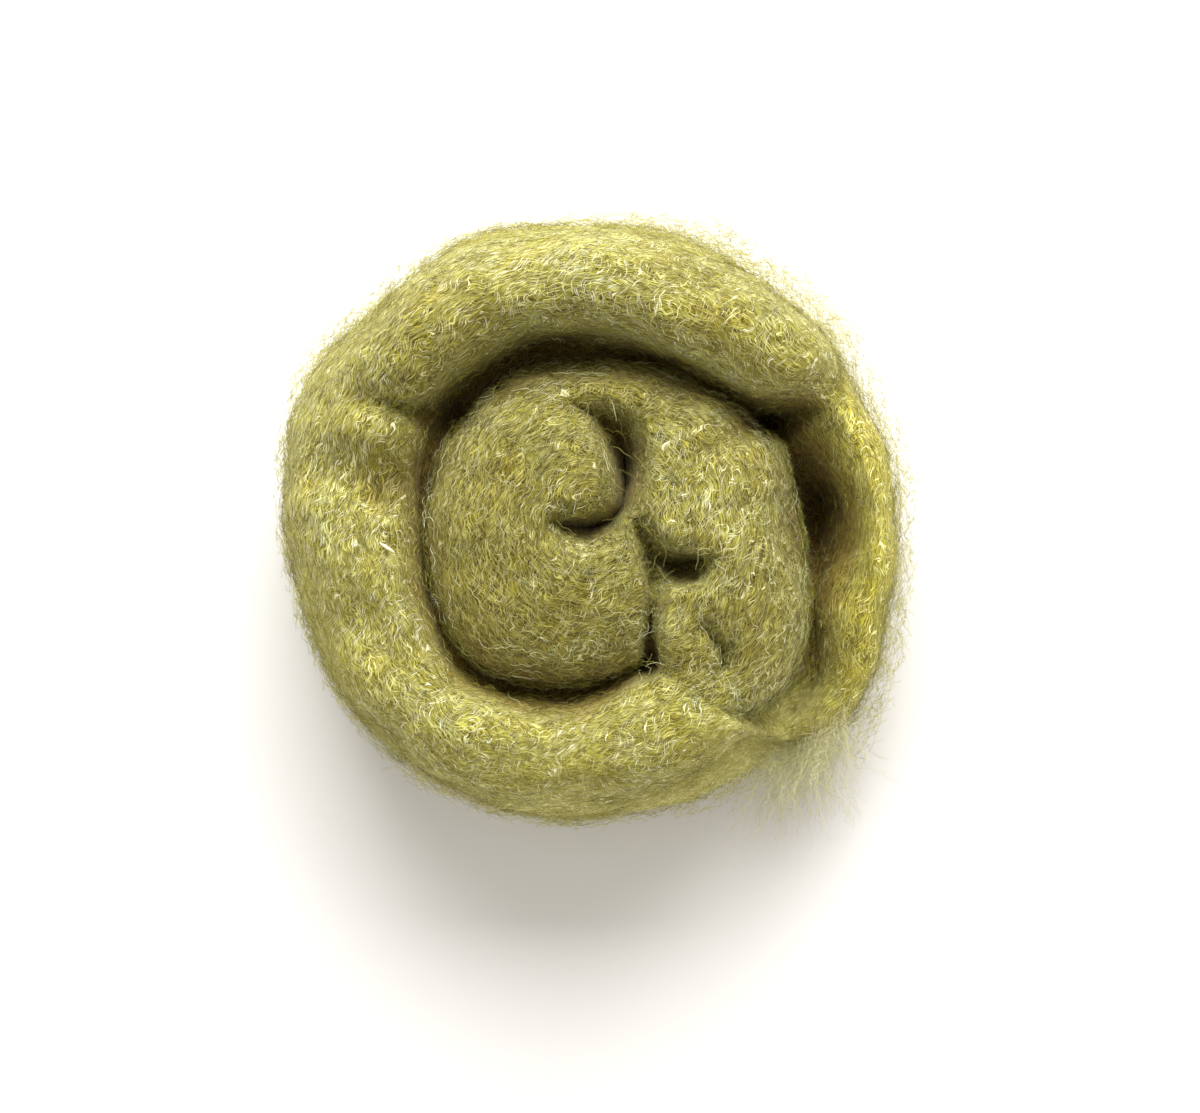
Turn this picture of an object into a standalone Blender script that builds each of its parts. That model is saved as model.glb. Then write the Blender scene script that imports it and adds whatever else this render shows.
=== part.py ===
"""Carded wool batt, rolled up and stood on its end.

One soft sheet of carded wool is wound up, clockwise outwards as seen from above.
Its inner end is a puffy bun with a small tongue curled into it.  The last turn is a
fat ring round that bun, which thins at the right into a low loose flap: the end of
the sheet.  The roll is one closed solid, made as a ring of radial profiles.  Each
profile runs from the middle over the bun, down into the groove between the turns,
over the outer ring, down its bulging side and back under to the middle.

Turn angles are in degrees, clockwise from +Y as seen from above.  Sizes are in
millimetres in the tables, and the mesh is in metres.
"""

import bpy
import numpy as np

MM = 0.001

NODE_NAME = "batt_roll"
WOOL_COLOUR = (0.36, 0.33, 0.09, 1.0)
WOOL_ROUGHNESS = 0.95

# How finely the profiles are divided.
PROFILES = 216
BUN_STEPS = 40
RING_INNER_STEPS = 14
RING_OUTER_STEPS = 14
RING_UNDER_STEPS = 8
BASE_STEPS = 4
# The share of those faces that a Decimate modifier leaves, mostly in the creases.
KEPT_FACES = 0.26

# How round the wool is: 2 is an ellipse, and more is squarer.
BUN_ROUNDNESS = 3.4
INNER_ROUNDNESS = 2.2
OUTER_ROUNDNESS = 2.2
UNDER_ROUNDNESS = 2.6

# The side bulges most at this share of the ring's height, and it stands on a flat
# spot that stops this far inside the bulge.
BULGE_SHARE = 0.45
FOOT_INSET = 7.0
# The groove's floor dips this far below its two edges.
FLOOR_DIP = 0.6
# Height of the bun at the middle of the winding, before the creases.
MIDDLE_HEIGHT = 57.0
# A crease's depth falls off from its line as this power of (1 - share squared).
CREASE_POWER = 1.5

# The roll, turn by turn.
#   turn    where the profile stands
#   groove  radius of the groove between the bun and the outer ring
#   gap     width of that groove at its floor
#   floor   height of that floor
#   bun     height of the bun in this direction
#   crest   radius of the outer ring's highest line
#   top     height of that line
#   rim     radius of the ring's bulging side
COLUMN_NAMES = ("turn", "groove", "gap", "floor", "bun", "crest", "top", "rim")
ROUND_THE_ROLL = (
    (0, 29.8, 3.0, 30, 57, 43.0, 61, 57.2),
    (30, 30.5, 1.6, 34, 58, 43.0, 61, 57.8),
    (48, 33.4, 2.0, 33, 59, 44.0, 60, 57.4),
    (58, 36.4, 4.0, 26, 59, 46.5, 54, 57.5),
    (65, 38.4, 6.0, 16, 59, 49.5, 45, 58.0),
    (77, 40.6, 7.0, 13, 59, 51.0, 42, 58.0),
    (90, 43.2, 5.0, 11, 59, 51.8, 40, 57.8),
    (105, 44.3, 4.0, 10, 58, 52.4, 37, 58.6),
    (120, 46.3, 4.5, 12, 57, 54.0, 33, 60.2),
    (130, 48.0, 4.0, 15, 55, 54.8, 29, 61.2),
    (137, 49.0, 3.0, 20, 54, 54.5, 27, 60.0),
    (145, 41.0, 1.0, 51, 54, 43.5, 50, 56.0),
    (161, 27.5, 2.0, 40, 54, 41.0, 52, 55.6),
    (180, 30.5, 4.0, 36, 55, 41.5, 51, 57.8),
    (200, 33.5, 4.5, 35, 55, 43.0, 51, 57.6),
    (220, 36.0, 4.0, 37, 56, 44.5, 51, 58.0),
    (245, 33.0, 3.5, 39, 57, 45.0, 52, 57.6),
    (270, 31.7, 2.5, 41, 57, 45.0, 53, 58.8),
    (290, 32.2, 2.5, 41, 57, 45.0, 54, 60.4),
    (310, 33.0, 4.0, 35, 57, 45.0, 58, 60.0),
    (335, 32.2, 4.5, 28, 57, 44.0, 61, 58.6),
)

# Creases in the top, as lines of (x, y, depth) in plan from the middle of the winding.
CREASES = {
    # half width, points
    "hook_round_the_tongue": (6.5, (
        (-5.5, 21.0, 0), (0.7, 18.8, 4), (4.0, 14.2, 8), (5.6, 9.0, 10), (5.2, 3.0, 9),
        (1.5, -1.5, 7), (-7.0, -1.0, 0),
    )),
    "bun_to_second_lobe": (6.0, (
        (6.2, 1.5, 7), (9.6, -5.0, 8), (10.2, -10.0, 8), (9.6, -16.0, 8), (8.8, -22.0, 9),
        (9.0, -28.0, 8),
    )),
    "pit_in_second_lobe": (5.0, (
        (9.8, -7.2, 8), (13.2, -7.8, 9), (16.4, -8.0, 8), (22.0, -7.2, 0),
    )),
    "small_lump_in_second_lobe": (6.0, (
        (8.8, -26.0, 6), (16.0, -24.8, 4), (21.0, -24.0, 4), (26.0, -20.0, 0),
    )),
    "fold_across_the_ring": (8.0, (
        (-25.8, 20.4, 8), (-31.2, 19.8, 7), (-37.3, 21.4, 4), (-44.0, 22.4, 0),
    )),
    "dimple_in_the_ring": (8.0, (
        (14.0, 42.5, 2.5), (19.0, 42.0, 2.5),
    )),
}


def around(column, turn):
    """One column of the table at each turn angle, as a smooth closed curve through its rows."""
    rows = np.array(ROUND_THE_ROLL, dtype=float)
    turns = rows[:, 0]
    values = rows[:, COLUMN_NAMES.index(column)]
    turns = np.concatenate((turns[-2:] - 360.0, turns, turns[:2] + 360.0))
    values = np.concatenate((values[-2:], values, values[:2]))
    slopes = np.gradient(values, turns)
    at = np.searchsorted(turns, turn, side="right") - 1
    step = turns[at + 1] - turns[at]
    t = (turn - turns[at]) / step
    rise = 3 * t ** 2 - 2 * t ** 3
    leave = (t ** 3 - 2 * t ** 2 + t) * step * slopes[at]
    arrive = (t ** 3 - t ** 2) * step * slopes[at + 1]
    return values[at] + (values[at + 1] - values[at]) * rise + leave + arrive


def crease_drop(x, y):
    """How far the creases pull the top down at each point: the deepest of them counts.

    Along its line a crease has its own depth, and beside it the depth falls to nothing
    at the half width, as (1 - (distance / half width) squared) to CREASE_POWER.
    """
    drop = np.zeros_like(x)
    for half_width, points in CREASES.values():
        for (x0, y0, depth0), (x1, y1, depth1) in zip(points, points[1:]):
            run = np.array((x1 - x0, y1 - y0))
            along = np.clip(((x - x0) * run[0] + (y - y0) * run[1]) / (run @ run), 0.0, 1.0)
            away = np.hypot(x - x0 - along * run[0], y - y0 - along * run[1])
            depth = depth0 + along * (depth1 - depth0)
            pulled = depth * np.clip(1.0 - (away / half_width) ** 2, 0.0, 1.0) ** CREASE_POWER
            drop = np.maximum(drop, pulled)
    return drop


def quarter(steps, roundness):
    """Sine-like and cosine-like shares along a quarter of a superellipse, start left out."""
    angle = np.linspace(0.0, np.pi / 2, steps + 1)[1:]
    power = 2.0 / roundness
    return np.sin(angle) ** power, np.clip(np.cos(angle), 0.0, 1.0) ** power


def radial_profiles():
    """Radius and height of every point, as arrays of (profile, station), from the top
    middle to the base's middle, with neither middle point in them."""
    turn = np.arange(PROFILES) * 360.0 / PROFILES
    groove, gap, floor, bun, crest, top, rim = (
        around(name, turn)[:, None] for name in COLUMN_NAMES[1:]
    )
    bulge = BULGE_SHARE * top
    foot = rim - FOOT_INSET

    # Over the bun, with its stations closer together where it rounds off.
    even = np.linspace(0.0, 1.0, BUN_STEPS + 1)[1:]
    share = (even + np.sin(even * np.pi / 2)) / 2
    rounding = (1.0 - np.clip(share, 0.0, 1.0) ** BUN_ROUNDNESS) ** (1.0 / BUN_ROUNDNESS)
    bun_radius = (groove - gap / 2) * share
    bun_crown = MIDDLE_HEIGHT + (bun - MIDDLE_HEIGHT) * share ** 2
    bun_height = floor + (bun_crown - floor) * rounding

    # The floor between the turns, with its far edge.
    floor_radius = np.hstack((groove, groove + gap / 2))
    floor_height = np.hstack((floor - FLOOR_DIP, floor))

    # Up and over the outer ring, down its side and under it.
    rise, left = quarter(RING_INNER_STEPS, INNER_ROUNDNESS)
    inner_radius = crest - (crest - groove - gap / 2) * left
    inner_height = floor + (top - floor) * rise
    out, down = quarter(RING_OUTER_STEPS, OUTER_ROUNDNESS)
    outer_radius = crest + (rim - crest) * out
    outer_height = bulge + (top - bulge) * down
    sink, stay = quarter(RING_UNDER_STEPS, UNDER_ROUNDNESS)
    under_radius = foot + (rim - foot) * stay
    under_height = bulge * (1.0 - sink)

    # The flat spot that it stands on.
    inwards = np.linspace(1.0, 0.0, BASE_STEPS + 1)[1:-1]
    base_radius = foot * inwards
    base_height = np.zeros_like(base_radius)

    radius = np.hstack((
        bun_radius, floor_radius, inner_radius, outer_radius, under_radius, base_radius,
    ))
    height = np.hstack((
        bun_height, floor_height, inner_height, outer_height, under_height, base_height,
    ))
    x = radius * np.sin(np.radians(turn))[:, None]
    y = radius * np.cos(np.radians(turn))[:, None]

    # Creases pull the top down, and fade out over the side above the bulge.
    fade = np.clip((height - bulge) / (top - bulge), 0.0, 1.0)
    over_ring = np.arange(radius.shape[1]) >= BUN_STEPS
    fade = np.where(over_ring, fade, 1.0)
    height = np.maximum(height - fade * crease_drop(x, y), 0.0)
    return x, y, height


def roll_mesh():
    """The closed mesh of the roll, in metres, with its origin under the middle of its box."""
    x, y, z = radial_profiles()
    stations = x.shape[1]
    middle_drop = crease_drop(np.zeros(1), np.zeros(1))[0]
    crown = np.array((0.0, 0.0, MIDDLE_HEIGHT - middle_drop))
    points = np.stack((x, y, z), axis=-1).reshape(-1, 3)
    points = np.vstack((points, crown, np.zeros(3)))
    box_middle = (points.min(axis=0) + points.max(axis=0)) / 2
    points[:, :2] -= box_middle[:2]

    # A quad between each two stations of neighbouring profiles, and a fan at each middle.
    profile = np.arange(PROFILES)
    following = (profile + 1) % PROFILES
    station = np.arange(stations - 1)
    here = (profile[:, None] * stations + station).ravel()
    there = (following[:, None] * stations + station).ravel()
    quads = np.stack((here, there, there + 1, here + 1), axis=-1)
    crown_index = np.full(PROFILES, PROFILES * stations)
    base_index = crown_index + 1
    last = stations - 1
    crown_fan = np.stack((crown_index, following * stations, profile * stations), axis=-1)
    base_fan = np.stack((base_index, profile * stations + last, following * stations + last), axis=-1)
    faces = quads.tolist() + crown_fan.tolist() + base_fan.tolist()

    mesh = bpy.data.meshes.new(NODE_NAME)
    mesh.from_pydata((points * MM).tolist(), [], faces)
    mesh.shade_smooth()
    return mesh


def wool_material():
    """Dyed carded wool: matt, olive yellow, with no metal in it."""
    material = bpy.data.materials.new("carded_wool")
    material.use_nodes = True
    shader = material.node_tree.nodes["Principled BSDF"]
    shader.inputs["Base Color"].default_value = WOOL_COLOUR
    shader.inputs["Roughness"].default_value = WOOL_ROUGHNESS
    shader.inputs["Metallic"].default_value = 0.0
    return material


def main():
    for old in list(bpy.data.objects):
        bpy.data.objects.remove(old, do_unlink=True)
    mesh = roll_mesh()
    mesh.materials.append(wool_material())
    roll = bpy.data.objects.new(NODE_NAME, mesh)
    thinning = roll.modifiers.new("fewer_faces", "DECIMATE")
    thinning.ratio = KEPT_FACES
    bpy.context.scene.collection.objects.link(roll)


main()
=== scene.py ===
"""Looks of a carded wool batt, rolled up and stood on its end.

The batt is one sheet of loose fibre off a carder, wound clockwise outwards as seen from
above: a puffy bun in the middle with a small tongue curled into it, a second lobe to the
right of it, and a fat outer ring that thins into a low loose flap.  wool_body is that
form as one closed padded surface.  The fibre pieces are thousands of crimped strands
laid along it, with loose strands over the grooves and a fringe of fuzz round its edge.

Turn angles are in degrees, clockwise from +Y as seen from above.  Tables are in
millimetres from the middle of the winding, and meshes are in metres.
"""

import math
from functools import partial

import bpy
import numpy as np
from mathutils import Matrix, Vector


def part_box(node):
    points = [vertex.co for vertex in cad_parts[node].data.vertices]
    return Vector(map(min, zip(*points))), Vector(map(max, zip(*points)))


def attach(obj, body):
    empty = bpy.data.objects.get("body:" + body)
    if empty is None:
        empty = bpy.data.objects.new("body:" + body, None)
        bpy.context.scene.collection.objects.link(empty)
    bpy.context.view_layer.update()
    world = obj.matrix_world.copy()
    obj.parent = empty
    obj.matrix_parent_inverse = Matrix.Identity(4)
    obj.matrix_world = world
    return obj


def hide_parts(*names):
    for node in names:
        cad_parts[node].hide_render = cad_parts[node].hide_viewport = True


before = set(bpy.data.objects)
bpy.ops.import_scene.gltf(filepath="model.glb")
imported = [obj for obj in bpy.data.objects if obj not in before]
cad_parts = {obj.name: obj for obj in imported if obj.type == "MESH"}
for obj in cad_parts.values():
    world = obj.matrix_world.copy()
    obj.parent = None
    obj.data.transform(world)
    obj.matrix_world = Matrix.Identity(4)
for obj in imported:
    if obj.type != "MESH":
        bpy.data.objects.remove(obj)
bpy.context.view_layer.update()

MM = 0.001
ROLL_LOW, ROLL_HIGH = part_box("batt_roll")

# ---------------- form of the roll

# How finely the profiles of the body are divided.
PROFILES = 330
BUN_STEPS = 66
FLOOR_STEPS = 3
RING_INNER_STEPS = 26
RING_OUTER_STEPS = 26
RING_UNDER_STEPS = 18
BASE_STEPS = 6

# How round the wool is: 2 is an ellipse, and more is squarer.  The bun's edge is squarer
# where the second lobe runs on into the ring: (turn, roundness).
BUN_ROUNDNESS = (
    (0, 3.1), (105, 3.1), (118, 3.6), (128, 4.6), (137, 6.0), (158, 6.0), (168, 3.6), (180, 3.1),
)
OUTER_ROUNDNESS = 2.2
UNDER_ROUNDNESS = 2.6

# The ring bulges most at a share of its height, and its foot stands in from there by
# some millimetres.  The groove's floor dips by a share of its width.
BULGE_SHARE = 0.45
FOOT_INSET = 7.0
FLOOR_DIP_SHARE = 0.2
# Height of the bun's middle.
MIDDLE_HEIGHT = 55.5

# Low down on the near side the loose turn below spreads out as a skirt: how high it
# reaches, the power that puts its widest place low, and what its foot has of its spread.
SKIRT_TOP = 31.0
SKIRT_POWER = 0.6
SKIRT_FOOT_SHARE = 0.8

# The second lobe runs on into the outer ring: at which turn, how many degrees to each side
# the surface is evened out, how strongly each time, and how many times.
JOIN_TURN = 146.0
JOIN_REACH = 12.0
JOIN_STRENGTH = 0.6
JOIN_PASSES = 20

# The share of a seam's half width that its rounded bottom takes.
SEAM_BOTTOM = 0.08

# The columns of the table after them.
COLUMN_NAMES = (
    "turn",  # where the profile stands
    "groove",  # radius of the groove between the bun and the outer ring
    "gap",  # width of that groove at its floor
    "floor",  # height of that floor
    "bun",  # height of the bun in this direction
    "crest",  # radius of the outer ring's highest line
    "top",  # height of that line
    "rim",  # radius of the ring's bulging side
    "slope",  # roundness of the ring's inner side: 2 is an ellipse, less is a slope
    "skirt",  # how far the skirt spreads out past the rim
)
ROUND_THE_ROLL = (
    (0, 31.2, 3.0, 33, 55, 42.4, 61, 55.0, 2.45, 0),
    (30, 32.0, 1.6, 32, 56, 42.4, 61, 54.4, 2.4, 0),
    (46, 34.0, 1.6, 30, 56, 42.8, 60, 54.6, 2.1, 0),
    (53, 35.6, 2.2, 24, 56, 43.8, 58, 54.8, 1.7, 0),
    (57, 37.0, 3.2, 17, 56, 45.8, 52, 54.8, 1.35, 0),
    (61, 37.6, 3.6, 20, 56, 47.8, 44, 55.0, 1.2, 0),
    (67, 38.3, 3.2, 27, 56, 49.6, 42, 55.0, 1.15, 0),
    (77, 39.5, 3.6, 20, 56, 50.6, 41, 55.8, 1.15, 0),
    (85, 40.9, 5.0, 12, 56, 51.2, 40, 56.4, 1.2, 0),
    (93, 41.3, 4.6, 13, 56, 51.6, 39, 56.8, 1.3, 0),
    (105, 42.4, 3.6, 22, 55, 52.6, 36, 58.6, 1.5, 0),
    (118, 45.9, 4.6, 20, 55, 55.0, 31, 61.2, 1.5, 0),
    (127, 48.4, 5.8, 19, 54.5, 57.2, 25.5, 62.2, 1.7, 0),
    (133, 48.7, 6.2, 18, 54, 57.0, 21.5, 61.0, 1.9, 0),
    (137, 48.5, 5.6, 17.5, 54, 55.4, 18.8, 59.8, 2.0, 0),
    (139, 47.8, 4.2, 17.4, 54, 52.8, 18.4, 58.4, 2.1, 1),
    (141, 46.3, 1.0, 17.4, 54, 47.2, 18.2, 48.8, 2.1, 10),
    (142.6, 44.6, 0.8, 53.8, 54, 45.2, 53.6, 47.6, 2.1, 11.5),
    (145, 42.4, 0.6, 54, 54, 43.4, 54, 47.8, 2.1, 10.8),
    (150, 36.0, 0.6, 54, 54, 41.5, 54, 48.4, 2.1, 8.4),
    (157, 28.4, 0.8, 53.2, 53.5, 40.5, 53.4, 49.8, 2.1, 7),
    (162, 27.7, 1.6, 42, 53, 40.5, 53, 51.2, 2.1, 5.8),
    (180, 30.2, 3.0, 35, 53, 41.5, 52, 54.2, 2.1, 3.4),
    (200, 33.0, 3.6, 33, 53, 43.0, 51, 56.0, 2.1, 2),
    (220, 35.4, 3.0, 36, 54, 44.5, 51, 57.4, 2.1, 0.5),
    (245, 33.2, 2.2, 39, 55, 45.0, 52, 57.6, 2.1, 0),
    (270, 31.7, 1.8, 40, 55, 45.0, 53, 58.2, 2.1, 0),
    (290, 32.2, 2.0, 39, 55, 45.0, 54, 59.6, 2.1, 0),
    (310, 33.0, 3.6, 35, 55, 44.6, 58, 58.0, 2.1, 0),
    (335, 33.2, 4.5, 32, 55, 43.2, 61, 56.4, 2.4, 0),
)

# Seams, where two puffs of wool meet in a cleft, as lines of (x, y, depth) in plan.
SEAMS = {
    # half width, points
    "hook_round_the_tongue": (5.2, (
        (-7.0, 21.6, 0), (-3.6, 20.8, 8), (0.7, 19.2, 14), (3.9, 15.9, 24), (5.2, 12.0, 34),
        (5.5, 7.2, 40), (4.8, 2.9, 40), (2.6, 0.2, 36), (-1.1, -1.0, 33), (-5.5, -0.8, 24),
        (-9.5, 0.6, 0),
    )),
    "bun_to_second_lobe": (4.0, (
        (4.7, 2.0, 12), (7.8, -1.4, 14), (9.7, -4.4, 18), (10.6, -8.6, 20), (10.3, -14.0, 14),
        (9.6, -20.0, 14), (10.2, -25.6, 26),
    )),
    "pit_in_second_lobe": (4.4, (
        (10.4, -6.8, 20), (12.6, -7.4, 28), (15.0, -8.4, 31), (17.4, -8.2, 28), (19.6, -6.8, 12),
        (23.0, -6.0, 0),
    )),
    "small_lump_right_side": (3.2, (
        (18.0, -17.6, 0), (20.4, -20.4, 4), (22.8, -23.2, 10), (23.0, -25.6, 9),
        (21.4, -28.0, 3), (18.6, -30.0, 0),
    )),
    "fold_across_the_ring": (8.0, (
        (-25.8, 20.2, 17), (-31.2, 19.9, 15), (-37.3, 21.4, 10), (-42.0, 22.6, 4),
        (-47.0, 23.0, 0),
    )),
}

# Hollows, which are soft all the way across, written in the same way.
HOLLOWS = {
    "beside_the_hook": (8.0, (
        (3.0, 20.0, 1), (5.6, 16.5, 2.5), (6.8, 12.0, 3), (7.2, 7.0, 2), (7.6, 3.0, 1),
    )),
    "beside_the_small_lump": (5.0, (
        (17.6, -17.6, 1), (20.0, -20.2, 2.5), (22.6, -23.4, 3), (23.2, -26.0, 2),
    )),
    "small_lump_underside": (4.0, ((11.0, -26.6, 4), (15.0, -27.0, 2), (22.6, -25.0, 2))),
    "round_the_pit": (6.0, (
        (10.4, -6.8, 2), (13.1, -8.0, 4), (16.7, -8.1, 4), (20.0, -7.0, 1),
    )),
    "dimple_in_the_ring": (7.0, ((15.0, 42.4, 2.4), (21.0, 42.0, 2.4))),
    "high_on_the_left": (8.0, (
        (-54.0, 11.0, 2.0), (-48.0, 9.0, 5.5), (-40.0, 7.0, 5.5), (-35.0, 8.0, 1.5),
    )),
    "low_on_the_left": (8.0, (
        (-50.0, -14.0, 1.0), (-44.0, -19.0, 3.0), (-38.0, -25.0, 3.0), (-34.0, -30.0, 0),
    )),
    "under_the_tip_of_the_ring": (5.0, (
        (32.0, 19.5, 6), (37.5, 22.0, 5), (42.5, 23.5, 3), (47.0, 25.5, 0),
    )),
}

# Soft lumps of the whole surface: (wavelength, height) in millimetres.
LUMPS = ((30.0, 0.45), (16.0, 0.22), (8.0, 0.09))
WAVES_PER_LUMP = 9
LUMP_SEED = 11
# How far from the base and from the middle the lumps reach their full height.
LUMPS_ABOVE_BASE = 12.0
LUMPS_FROM_MIDDLE = 4.0

PROFILE_TURNS = np.arange(PROFILES) * 360.0 / PROFILES


def between(value, start, end):
    """0 up to start, 1 from end on, and an even rise between them, in either direction."""
    return np.clip((value - start) / (end - start), 0.0, 1.0)


def unit(vectors):
    """Vectors brought to a length of 1."""
    return vectors / np.maximum(np.linalg.norm(vectors, axis=-1, keepdims=True), 1e-9)


def around(column, turn):
    """One column of the table at each turn angle, as a smooth closed curve through its rows
    that never swings past them: its slope at a row is the harmonic mean of those beside it."""
    rows = np.array(ROUND_THE_ROLL, dtype=float)
    turns = rows[:, 0]
    values = rows[:, COLUMN_NAMES.index(column)]
    turns = np.concatenate((turns[-2:] - 360.0, turns, turns[:2] + 360.0))
    values = np.concatenate((values[-2:], values, values[:2]))
    rates = np.diff(values) / np.diff(turns)
    before, after = rates[:-1], rates[1:]
    slopes = np.zeros_like(values)
    same_way = before * after > 0
    slopes[1:-1][same_way] = (2 * before * after / (before + after + 1e-12))[same_way]
    at = np.searchsorted(turns, turn, side="right") - 1
    step = turns[at + 1] - turns[at]
    t = (turn - turns[at]) / step
    rise = 3 * t ** 2 - 2 * t ** 3
    leave = (t ** 3 - 2 * t ** 2 + t) * step * slopes[at]
    arrive = (t ** 3 - t ** 2) * step * slopes[at + 1]
    return values[at] + (values[at + 1] - values[at]) * rise + leave + arrive


def line_drop(lines, x, y, shape):
    """How far a set of lines pulls the top down at each point: the deepest line counts.

    Along its line each one has its own depth, and shape gives the share of it that is
    left at a distance from the line, as a share of the half width.
    """
    drop = np.zeros_like(x)
    for half_width, points in lines.values():
        for (x0, y0, depth0), (x1, y1, depth1) in zip(points, points[1:]):
            run = np.array((x1 - x0, y1 - y0))
            along = between((x - x0) * run[0] + (y - y0) * run[1], 0.0, run @ run)
            away = np.hypot(x - x0 - along * run[0], y - y0 - along * run[1])
            depth = depth0 + along * (depth1 - depth0)
            drop = np.maximum(drop, depth * shape(between(away, 0.0, half_width)))
    return drop


def seam_shape(away):
    """A cleft between two round puffs: each side is a quarter of a circle, and the
    bottom is rounded."""
    away = np.minimum(np.hypot(away, SEAM_BOTTOM), 1.0)
    return 1.0 - np.sqrt(1.0 - (1.0 - away) ** 2)


def hollow_shape(away):
    """A soft bowl: (1 - distance squared) to the power of one and a half."""
    return (1.0 - away ** 2) ** 1.5


def crease_drop(x, y):
    """Seams and hollows together."""
    return line_drop(SEAMS, x, y, seam_shape) + line_drop(HOLLOWS, x, y, hollow_shape)


def quarter(steps, roundness):
    """Sine-like and cosine-like shares along a quarter of a superellipse, start left out."""
    angle = np.linspace(0.0, np.pi / 2, steps + 1)[1:]
    power = 2.0 / roundness
    return np.sin(angle) ** power, np.clip(np.cos(angle), 0.0, 1.0) ** power


def skirt_share(height):
    """How far out the skirt stands at a height: one cosine wave, from trough to trough, on
    a power of the height's share, so that it is widest a third of the way up."""
    share = between(height, 0.0, SKIRT_TOP)
    return 0.5 - 0.5 * np.cos(2 * np.pi * share ** SKIRT_POWER)


def lump_height(points):
    """Soft lumps: for each wavelength, a sum of plane waves in random directions."""
    rng = np.random.default_rng(LUMP_SEED)
    height = np.zeros(points.shape[:-1])
    for wavelength, size in LUMPS:
        ways = unit(rng.normal(size=(WAVES_PER_LUMP, 3)))
        phases = rng.uniform(0.0, 2 * np.pi, WAVES_PER_LUMP)
        waves = np.cos(points @ ways.T * (2 * np.pi / wavelength) + phases)
        height += size * waves.sum(axis=-1) / math.sqrt(WAVES_PER_LUMP / 2)
    return height


def surface(grid):
    """A grid of points that closes on itself round the roll, with its normals and its
    steps along the turn and along the profile."""
    along_turn = (np.roll(grid, -1, axis=0) - np.roll(grid, 1, axis=0)) / 2
    along_profile = np.gradient(grid, axis=1)
    return grid, unit(np.cross(along_turn, along_profile)), along_turn, along_profile


def roll_grid():
    """Points of the body, in millimetres, as (profile, station, xyz), from just off the
    middle of the top, over the bun, the groove's floor, the ring and its side, to the base."""
    groove, gap, floor, bun, crest, top, rim, slope, skirt = (
        around(name, PROFILE_TURNS)[:, None] for name in COLUMN_NAMES[1:]
    )
    skirt = np.maximum(skirt, 0.0)
    foot = rim + SKIRT_FOOT_SHARE * skirt - FOOT_INSET
    bulge = BULGE_SHARE * top

    even = np.linspace(0.0, 1.0, BUN_STEPS + 1)[1:]
    share = (even + np.sin(even * np.pi / 2)) / 2
    power = np.interp(PROFILE_TURNS, *np.array(BUN_ROUNDNESS).T)[:, None]
    rounding = (1.0 - np.minimum(share, 1.0) ** power) ** (1.0 / power)
    bun_radius = (groove - gap / 2) * share
    bun_crown = MIDDLE_HEIGHT + (bun - MIDDLE_HEIGHT) * share ** 2
    bun_height = floor + (bun_crown - floor) * rounding

    across = np.linspace(-1.0, 1.0, FLOOR_STEPS + 1)[1:]
    floor_radius = groove + gap / 2 * across
    floor_height = floor - FLOOR_DIP_SHARE * gap * (1.0 - across ** 2)

    rise, left = quarter(RING_INNER_STEPS, slope)
    inner_radius = crest - (crest - groove - gap / 2) * left
    inner_height = floor + (top - floor) * rise
    out, down = quarter(RING_OUTER_STEPS, OUTER_ROUNDNESS)
    outer_radius = crest + (rim - crest) * out
    outer_height = bulge + (top - bulge) * down
    sink, stay = quarter(RING_UNDER_STEPS, UNDER_ROUNDNESS)
    under_radius = foot + (rim - foot) * stay
    under_height = bulge * (1.0 - sink)

    outer_radius = outer_radius + skirt * skirt_share(outer_height)
    under_radius = under_radius + skirt * skirt_share(under_height)
    base_radius = foot * np.linspace(1.0, 0.0, BASE_STEPS + 1)[1:-1]
    radius, height = (np.hstack(parts) for parts in zip(
        (bun_radius, bun_height), (floor_radius, floor_height), (inner_radius, inner_height),
        (outer_radius, outer_height), (under_radius, under_height),
        (base_radius, np.zeros_like(base_radius)),
    ))

    # Where the second lobe runs on into the ring, each point above the base is drawn
    # towards the mean of those beside it.
    even_out = between(np.abs(PROFILE_TURNS - JOIN_TURN), JOIN_REACH, 0.0) ** 0.5
    even_out = JOIN_STRENGTH * even_out[:, None, None] * (height > 1.0)[..., None]
    shape = np.stack((radius, height), axis=-1)
    for _ in range(JOIN_PASSES):
        beside = (np.roll(shape, 1, axis=0) + np.roll(shape, -1, axis=0)) / 4
        beside[:, 1:-1] += (shape[:, :-2] + shape[:, 2:]) / 4
        beside[:, (0, -1)] += shape[:, (0, -1)] / 2
        shape = shape + (beside - shape) * even_out
    radius, height = shape[..., 0], shape[..., 1]

    x = radius * np.sin(np.radians(PROFILE_TURNS))[:, None]
    y = radius * np.cos(np.radians(PROFILE_TURNS))[:, None]
    return np.stack((x, y, height), axis=-1)


def creased(grid):
    """The grid with its seams and hollows, which fade out down the ring's outer side."""
    station = np.arange(grid.shape[1])
    crest = grid[:, CREST_STATION, 2][:, None]
    fade = between(grid[..., 2] / crest, BULGE_SHARE, 1.0)
    fade = np.where(station < CREST_STATION, 1.0, fade)
    drop = fade * crease_drop(grid[..., 0], grid[..., 1])
    sunk = grid.copy()
    sunk[..., 2] = np.maximum(grid[..., 2] - drop, 0.0)
    return sunk


def lumpy(grid):
    """The grid with its soft lumps, which fade out towards the flat base and the middle."""
    radius = np.hypot(grid[..., 0], grid[..., 1])
    fade = between(grid[..., 2], 0.0, LUMPS_ABOVE_BASE) * between(radius, 0.0, LUMPS_FROM_MIDDLE)
    moved = grid + surface(grid)[1] * (lump_height(grid) * fade)[..., None]
    moved[..., 2] = np.maximum(moved[..., 2], 0.0)
    return moved


def to_place(points):
    """Millimetres about the winding's middle, turned to metres in the CAD roll's own place."""
    return points * MM + PLACE


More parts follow.
